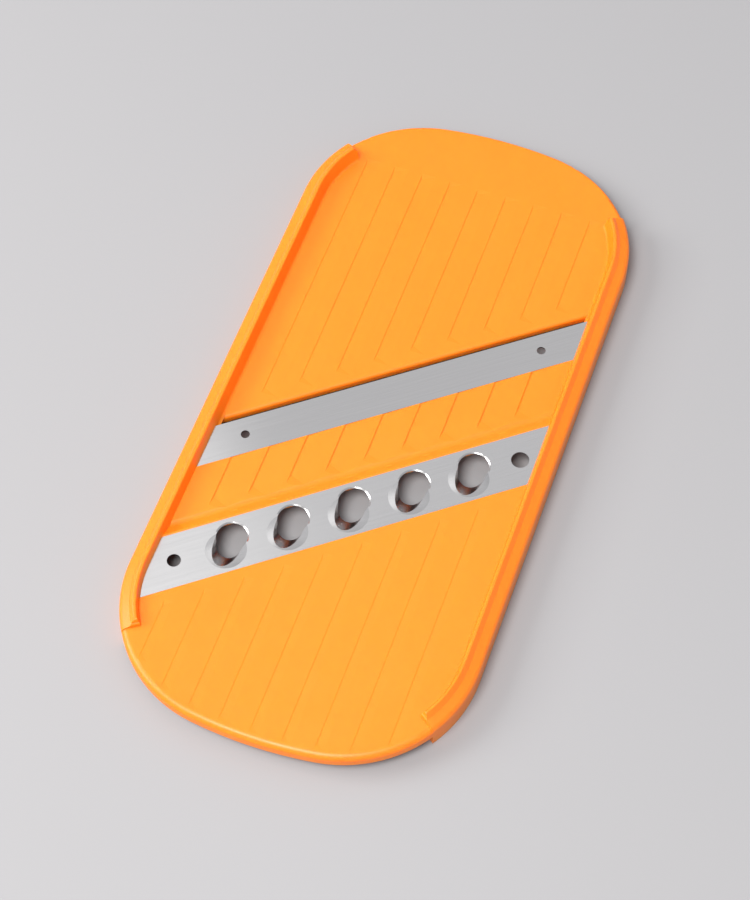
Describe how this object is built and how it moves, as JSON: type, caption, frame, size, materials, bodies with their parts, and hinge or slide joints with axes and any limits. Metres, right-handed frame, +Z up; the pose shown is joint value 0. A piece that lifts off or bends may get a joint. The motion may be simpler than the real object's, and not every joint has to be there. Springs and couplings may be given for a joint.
{
  "type": "mandoline slicer",
  "caption": "Flat oblong plastic vegetable slicer with rounded ends, low side rails, a slanted slicing blade and a slanted steel shredding plate with a row of round scooped holes.",
  "frame": {"origin": "centre of the footprint, on the plane the rails stand on", "axes": "+Y along the length towards the feeding end, +X to the right seen from above with the feeding end away, +Z up out of the deck"},
  "size_m": [0.1134, 0.24, 0.012],
  "materials": {
    "orange_plastic": "soft satin moulded plastic",
    "steel": "fine satin stainless"
  },
  "bodies": {
    "root": {"body": "orange_plastic", "slicing_blade": "steel", "shredding_plate": "steel"}
  },
  "joints": []
}
